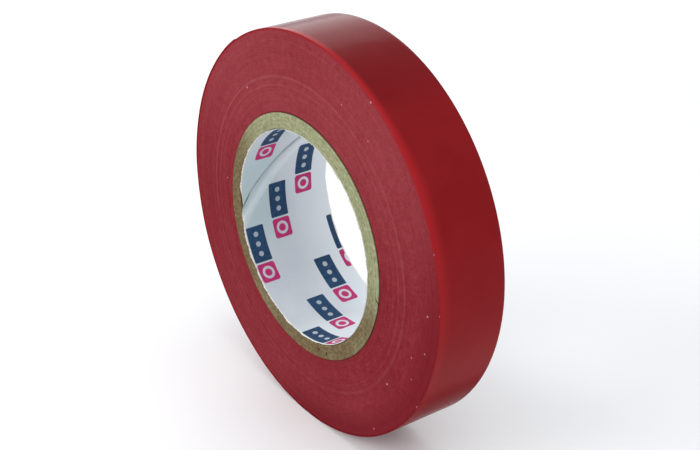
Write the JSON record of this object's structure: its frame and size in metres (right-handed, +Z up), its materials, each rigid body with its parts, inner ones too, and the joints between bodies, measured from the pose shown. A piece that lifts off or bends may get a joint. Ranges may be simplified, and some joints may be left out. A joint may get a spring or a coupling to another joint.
{
  "type": "electrical tape roll",
  "caption": "Roll of soft PVC insulating tape wound on a paper-lined board core, whose free end peels off in hinged lengths.",
  "frame": {"origin": "on the core's axis, in the middle of the tape's width", "axes": "+Y along the core's axis from the front side to the back side, +Z up with the roll standing on its rim"},
  "size_m": [0.0823, 0.0215, 0.0823],
  "materials": {
    "pvc_film": "soft plasticised PVC film, glossy on its face and matt on its slit edges",
    "adhesive": "thin tacky rubber-resin coat, which takes the film's colour",
    "core_board": "grey-brown recycled board with loose fibres on its cut ends",
    "liner_paper": null
  },
  "bodies": {
    "roll": {"core_liner_paper": "liner_paper", "core_board_ply_1": "core_board", "core_board_ply_2": "core_board", "core_board_ply_3": "core_board", "core_board_ply_4": "core_board", "wound_tape": "pvc_film", "outer_lap": "pvc_film"},
    "tail_1": {"tail_film_1": "pvc_film", "tail_adhesive_1": "adhesive"},
    "tail_2": {"tail_film_2": "pvc_film", "tail_adhesive_2": "adhesive"},
    "tail_3": {"tail_film_3": "pvc_film", "tail_adhesive_3": "adhesive"},
    "tail_4": {"tail_film_4": "pvc_film", "tail_adhesive_4": "adhesive"}
  },
  "joints": [
    {"name": "peel_bend_1", "type": "hinge", "parent": "roll", "child": "tail_1", "pos_m": [-0.04111, 0, 0.0036], "axis": [0, -1, 0], "range_deg": [0, 80]},
    {"name": "peel_bend_2", "type": "hinge", "parent": "tail_1", "child": "tail_2", "pos_m": [-0.03936, 0, 0.01241], "axis": [0, -1, 0], "range_deg": [0, 25]},
    {"name": "peel_bend_3", "type": "hinge", "parent": "tail_2", "child": "tail_3", "pos_m": [-0.03575, 0, 0.02064], "axis": [0, -1, 0], "range_deg": [0, 22]},
    {"name": "peel_bend_4", "type": "hinge", "parent": "tail_3", "child": "tail_4", "pos_m": [-0.03044, 0, 0.02789], "axis": [0, -1, 0], "range_deg": [0, 20]}
  ]
}
